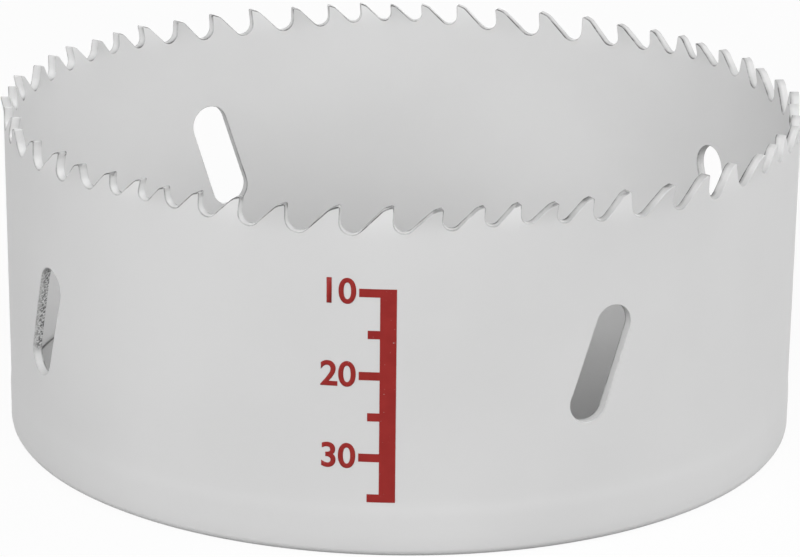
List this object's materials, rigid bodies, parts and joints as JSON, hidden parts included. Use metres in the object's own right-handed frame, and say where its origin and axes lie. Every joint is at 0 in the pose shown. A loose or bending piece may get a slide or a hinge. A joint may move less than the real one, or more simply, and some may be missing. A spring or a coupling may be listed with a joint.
{
  "type": "hole saw",
  "caption": "Cup-shaped hole saw with a variable-pitch toothed rim, slanted slots in its wall and a threaded end cap for a drill arbor.",
  "frame": {"origin": "centre of the end cap's outer face, at the base of the cup", "axes": "+Z along the saw's axis, from the end cap towards the teeth; -Y is the side that carries the printed mark"},
  "size_m": [0.1017, 0.1014, 0.0424],
  "materials": {
    "white_enamel": "satin off-white enamel sprayed over the whole cup",
    "cap_enamel": "satin off-white enamel over machined steel",
    "bare_steel": "bare cut thread, darkened with oil",
    "red_print": "thin screen-printed red ink"
  },
  "bodies": {
    "root": {"saw_band": "white_enamel", "end_cap": "cap_enamel"}
  },
  "joints": []
}
